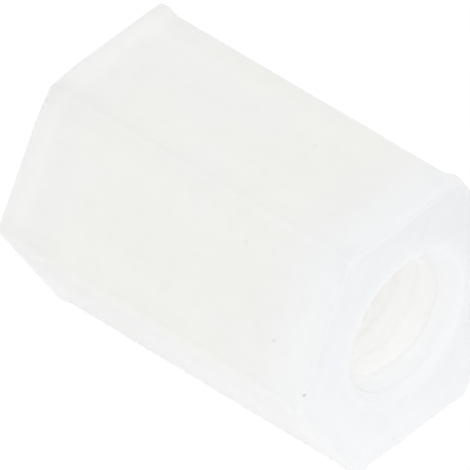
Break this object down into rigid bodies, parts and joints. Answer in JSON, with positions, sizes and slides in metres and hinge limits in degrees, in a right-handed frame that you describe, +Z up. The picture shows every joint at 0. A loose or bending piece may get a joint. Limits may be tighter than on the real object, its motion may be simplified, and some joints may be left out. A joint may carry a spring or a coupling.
{
  "type": "hex standoff",
  "caption": "Female-female hexagonal spacer in natural nylon with a threaded through bore and a countersink at each end.",
  "frame": {"origin": "on the surface that the standoff lies on, below the middle of its bore", "axes": "+X along the bore from one end face to the other, +Y level and across the long edges, +Z up and square to the flat that it lies on"},
  "size_m": [0.008, 0.0064, 0.0056],
  "materials": {
    "nylon": "satin natural nylon, milky and slightly translucent"
  },
  "bodies": {
    "root": {"standoff": "nylon"}
  },
  "joints": []
}
